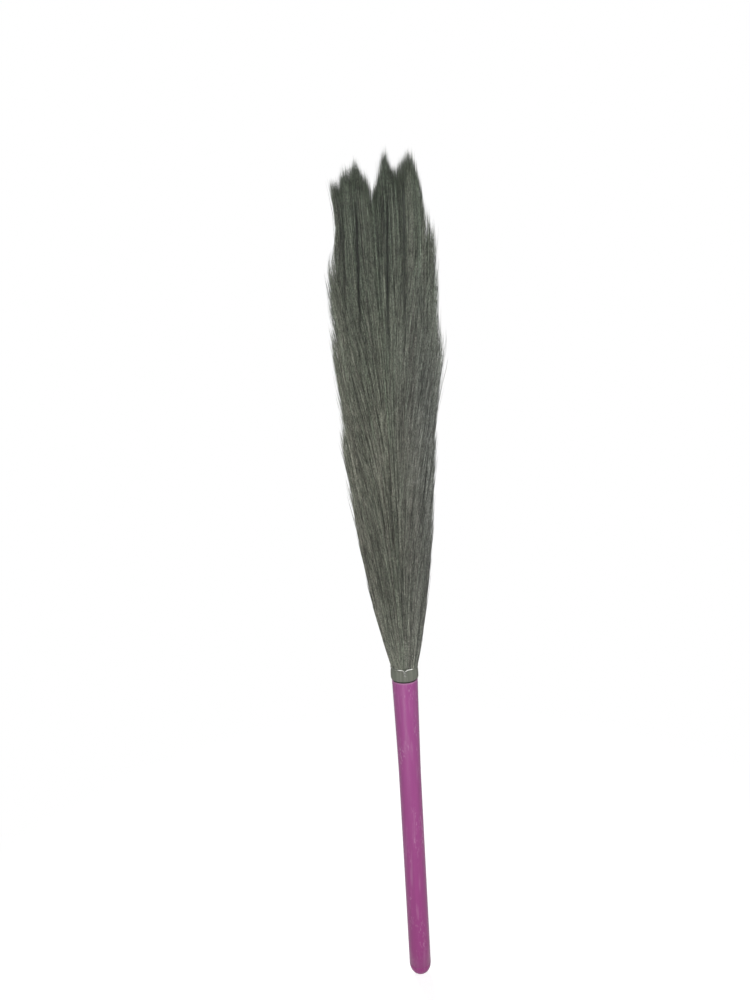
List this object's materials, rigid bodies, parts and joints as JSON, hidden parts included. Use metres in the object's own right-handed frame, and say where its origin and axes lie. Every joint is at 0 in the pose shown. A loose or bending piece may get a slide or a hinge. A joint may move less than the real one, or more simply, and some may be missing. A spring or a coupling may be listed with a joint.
{
  "type": "soft bristle broom",
  "caption": "Soft bristle broom: a slim round plastic handle with a domed end, and a long fan of fine grey-green bristles wired at the neck into its flared mouth.",
  "frame": {"origin": "on the handle's axis, in the middle of where a hand grips it, 200 mm above the end of the handle", "axes": "+Z along the handle towards the bristle tips, X across the wide side of the head, -Y the front face of the head"},
  "size_m": [0.1382, 0.0644, 1.1],
  "materials": {
    "handle_plastic": "satin magenta plastic",
    "plug_plastic": "satin magenta plastic",
    "peg_wood": "plain whittled wood",
    "bristles_front": "fine soft grey-green fibre",
    "bristles_right": "fine soft grey-green fibre",
    "bristles_back": "fine soft grey-green fibre",
    "bristles_left": "fine soft grey-green fibre",
    "wire": "galvanised"
  },
  "bodies": {
    "root": {"handle_tube": "handle_plastic", "end_plug": "plug_plastic", "wedge_peg": "peg_wood", "bunch_front": "bristles_front", "bunch_right": "bristles_right", "bunch_back": "bristles_back", "bunch_left": "bristles_left", "neck_wire": "wire", "butt_wire": "wire"}
  },
  "joints": []
}
